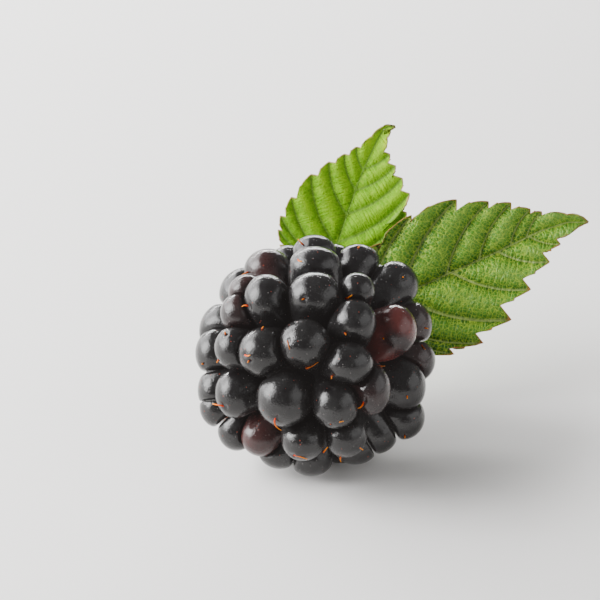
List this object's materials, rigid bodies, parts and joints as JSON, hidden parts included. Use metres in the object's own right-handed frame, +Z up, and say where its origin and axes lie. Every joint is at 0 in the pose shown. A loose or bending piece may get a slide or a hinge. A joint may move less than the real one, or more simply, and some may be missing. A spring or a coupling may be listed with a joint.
{
  "type": "bramble berry",
  "caption": "Ripe black bramble berry lying on its side, swollen drupelets on a short stalk with a calyx and toothed leaves.",
  "frame": {"origin": "middle of the underside of the whole part, on the surface that it lies on", "axes": "+Z up, the berry's own axis along Y with its round end to -Y and its stalk to +Y, +X to the side where the larger leaf reaches"},
  "size_m": [0.0414, 0.0412, 0.0246],
  "materials": {
    "drupelet_skin": "gloss",
    "calyx": "matte",
    "stalk": "matte",
    "young_leaf": "satin",
    "leaf": "satin"
  },
  "bodies": {
    "root": {"drupelet_head": "drupelet_skin", "calyx": "calyx", "stalk": "stalk", "leaf_upper": "young_leaf", "leaf_side": "leaf"}
  },
  "joints": []
}
